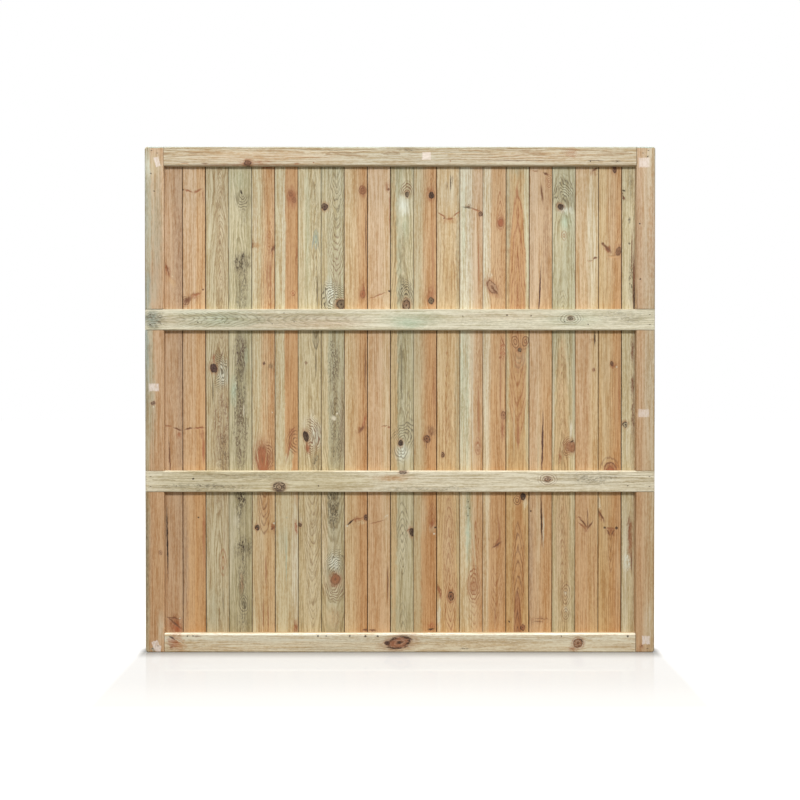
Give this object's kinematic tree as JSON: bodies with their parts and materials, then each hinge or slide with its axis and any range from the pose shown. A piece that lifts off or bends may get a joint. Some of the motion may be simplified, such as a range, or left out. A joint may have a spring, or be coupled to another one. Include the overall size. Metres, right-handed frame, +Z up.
{
  "type": "tongue and groove fence panel",
  "caption": "Square framed fence panel of vertical tongue and groove softwood boards with rebated stiles, top and bottom rails, and halved middle rails on its back.",
  "frame": {"origin": "middle of the panel's bottom edge, half way through its depth", "axes": "+X to the right along the panel seen from its railed side, +Y through it from the railed side to the boards' fair face, +Z up"},
  "size_m": [1.83, 0.044, 1.815],
  "materials": {
    "frame_timber": "planed, pressure treated softwood, matt",
    "boards": "planed, pressure treated softwood with knots, matt",
    "nails": "weathered galvanised wire",
    "pins": "galvanised wire"
  },
  "bodies": {
    "root": {"board_01": "boards", "board_02": "boards", "board_03": "boards", "board_04": "boards", "board_05": "boards", "board_06": "boards", "board_07": "boards", "board_08": "boards", "board_09": "boards", "board_10": "boards", "board_11": "boards", "board_12": "boards", "board_13": "boards", "board_14": "boards", "board_15": "boards", "board_16": "boards", "board_17": "boards", "board_18": "boards", "board_19": "boards", "board_20": "boards", "board_21": "boards", "board_pins": "pins", "corner_nails": "nails", "rail_bottom": "frame_timber", "rail_lower_middle": "frame_timber", "rail_nails": "nails", "rail_top": "frame_timber", "rail_upper_middle": "frame_timber", "stile_left": "frame_timber", "stile_right": "frame_timber"}
  },
  "joints": []
}
